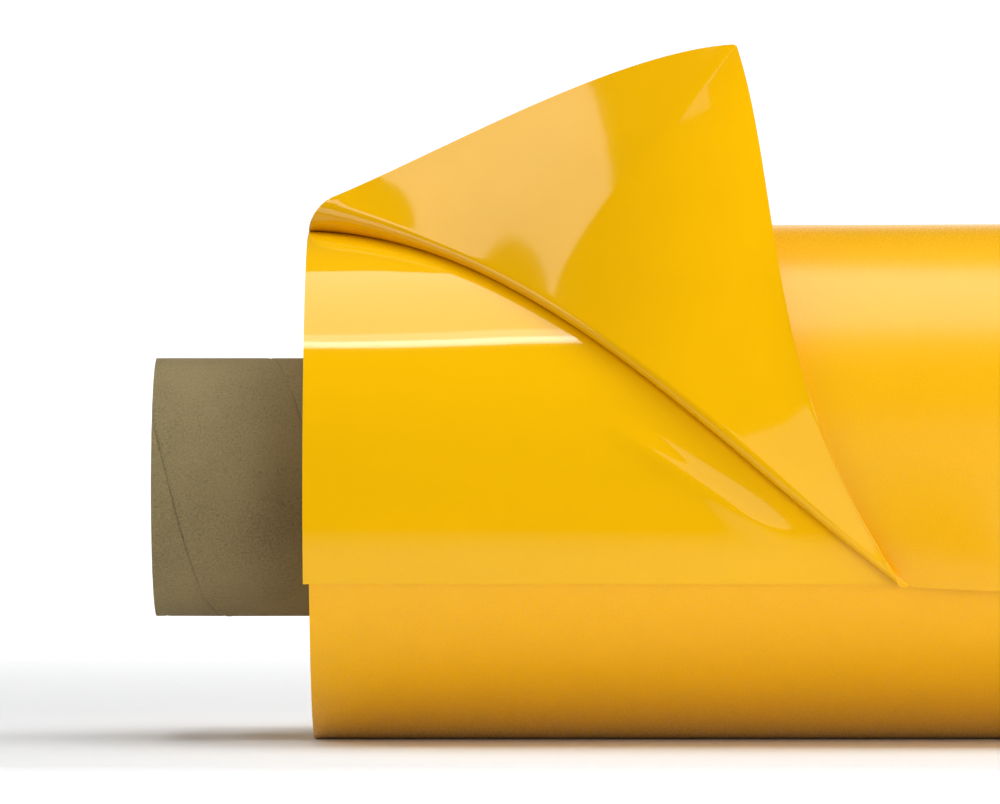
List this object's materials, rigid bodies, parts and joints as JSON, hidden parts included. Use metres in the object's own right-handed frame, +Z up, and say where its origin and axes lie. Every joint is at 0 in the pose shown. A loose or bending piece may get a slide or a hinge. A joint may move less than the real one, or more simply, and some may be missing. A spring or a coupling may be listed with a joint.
{
  "type": "roll of sign vinyl",
  "caption": "Roll of yellow self-adhesive sign vinyl on a cardboard core, with the corner of its loose end peeled back from the liner and folded over.",
  "frame": {"origin": "middle of the core's bore, on the roll's axis, half way along the roll", "axes": "+X along the roll's axis towards its right-hand end, -Y to the front where the peeled corner is, +Z up"},
  "size_m": [0.718, 0.1789, 0.2338],
  "materials": {
    "core_kraft": "matt kraft paper, spiral wound, with fine fibres",
    "core_board": "cut edge of grey board",
    "tape": "translucent white double-sided tape",
    "web_edge": "slit edges of many turns of film and liner",
    "liner": "high gloss, clear liner over yellow film",
    "vinyl": "satin face of the film",
    "vinyl_underside": "glossy adhesive side of the film, satin on its other face"
  },
  "bodies": {
    "roll": {"core_inner_ply": "core_kraft", "core_board_ply_1": "core_board", "core_board_ply_2": "core_board", "core_board_ply_3": "core_board", "core_board_ply_4": "core_board", "core_board_ply_5": "core_board", "core_board_ply_6": "core_board", "core_outer_ply": "core_kraft", "start_tape": "tape", "wound_web": "web_edge", "last_turn_liner": "liner", "last_turn_film": "vinyl"},
    "tail": {"tail_liner": "liner", "tail_film": "vinyl"},
    "corner": {"peeled_corner": "vinyl_underside"}
  },
  "joints": [
    {"name": "tail_lift", "type": "hinge", "parent": "roll", "child": "tail", "pos_m": [0, 0.04362, 0.07555], "axis": [-1, 0, 0], "range_deg": [0, 25]},
    {"name": "corner_peel", "type": "hinge", "parent": "tail", "child": "corner", "pos_m": [-0.2065, -0.04187, 0.02801], "axis": [0.8154, -0.3218, -0.4812], "range_deg": [-4, 6], "stiffness_Nm_per_rad": 0.15}
  ]
}
